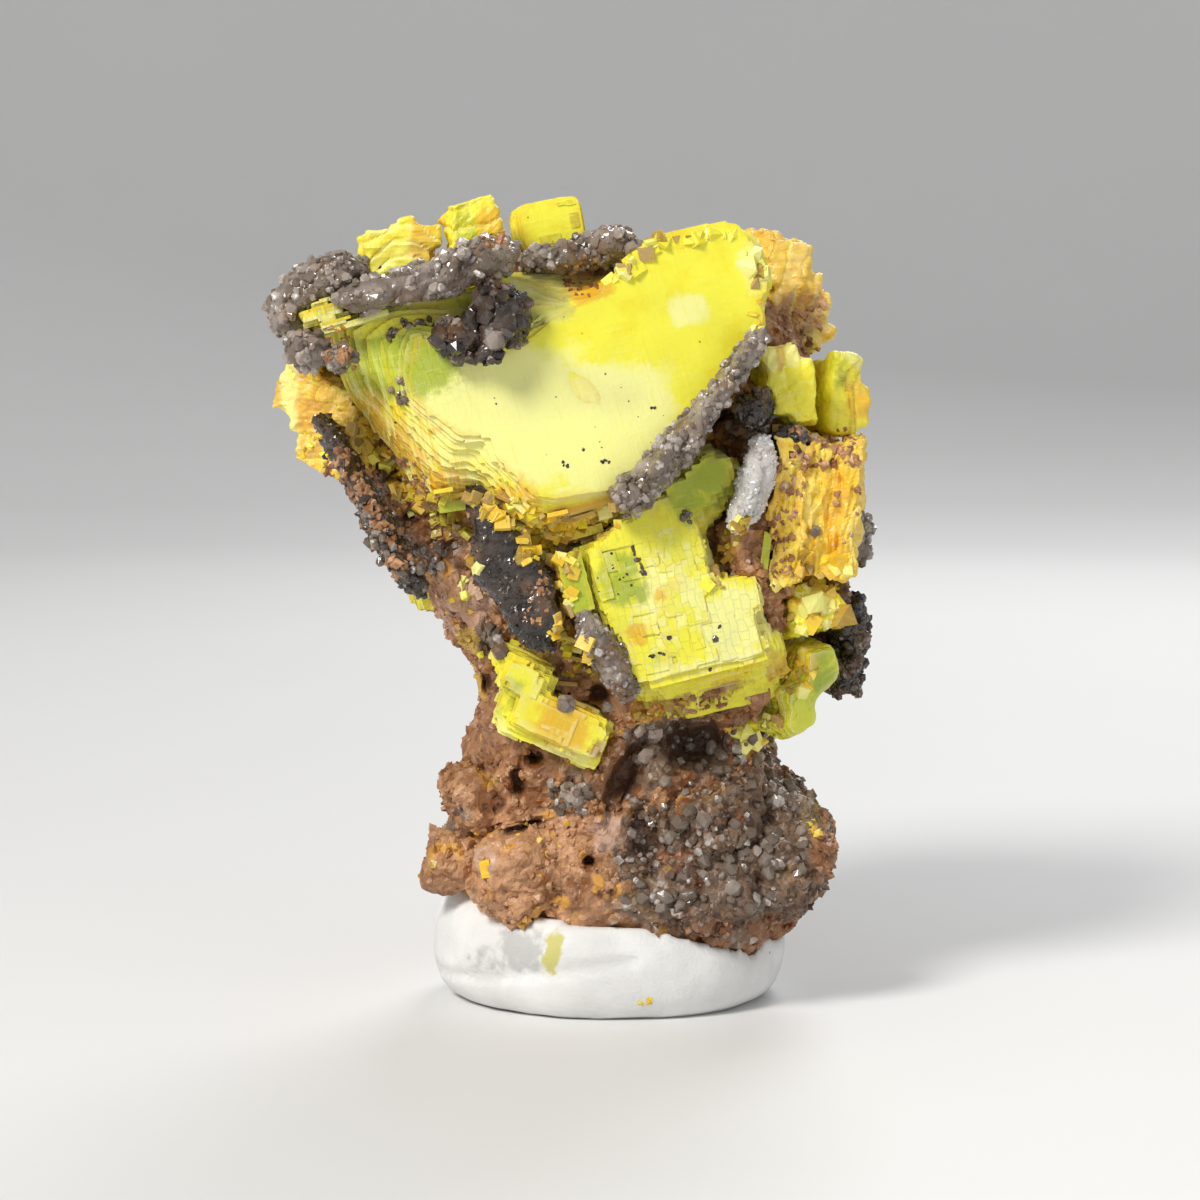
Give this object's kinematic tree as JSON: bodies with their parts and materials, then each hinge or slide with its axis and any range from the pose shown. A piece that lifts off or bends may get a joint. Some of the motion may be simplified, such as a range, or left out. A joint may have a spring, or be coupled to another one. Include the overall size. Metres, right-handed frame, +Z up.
{
  "type": "uranocircite mineral specimen",
  "caption": "Small standing mineral specimen: stacked yellow square-plate crystals and dark quartz on granular brown rock, held upright in a white putty base.",
  "frame": {"origin": "on the surface that the putty rests on, at the middle of the specimen's width and depth", "axes": "+Z up; the front, with the large crystal face, looks along -Y; +X is to the right as seen from the front"},
  "size_m": [0.0147, 0.0112, 0.0199],
  "materials": {
    "lemon_crystal": "pearly",
    "yellow_crystal": "pearly",
    "greenish_crystal": "pearly",
    "orange_crystal": "pearly",
    "smoky_quartz": "glassy",
    "dark_quartz": "glassy",
    "pale_quartz": "glassy",
    "rock": "granular",
    "putty": "matte"
  },
  "bodies": {
    "root": {"main_crystal": "lemon_crystal", "top_right_crystal": "lemon_crystal", "lower_crystal": "yellow_crystal", "top_left_crystal": "yellow_crystal", "top_middle_crystal": "yellow_crystal", "right_crystal": "yellow_crystal", "far_right_crystal": "yellow_crystal", "right_side_crystal": "yellow_crystal", "lower_left_crystal": "yellow_crystal", "rear_upper_crystal": "yellow_crystal", "upper_left_crystal": "greenish_crystal", "lower_right_blades": "greenish_crystal", "rear_lower_crystal": "greenish_crystal", "left_edge_crystal": "orange_crystal", "back_right_crystal": "orange_crystal", "right_foliated_crystal": "orange_crystal", "underside_crystal": "orange_crystal", "diagonal_quartz_vein": "smoky_quartz", "top_quartz_ridge": "smoky_quartz", "left_quartz_ridge": "smoky_quartz", "back_top_quartz": "smoky_quartz", "lower_quartz_vein": "smoky_quartz", "rear_quartz_vein": "smoky_quartz", "left_quartz_group": "smoky_quartz", "far_right_quartz": "smoky_quartz", "left_quartz_sheet": "dark_quartz", "dark_quartz_slab": "dark_quartz", "dark_quartz_group": "dark_quartz", "upper_vug_quartz": "dark_quartz", "lower_vug_quartz": "dark_quartz", "right_base_quartz": "dark_quartz", "sparkling_druse": "pale_quartz", "matrix_rock": "rock", "mounting_putty": "putty"}
  },
  "joints": []
}
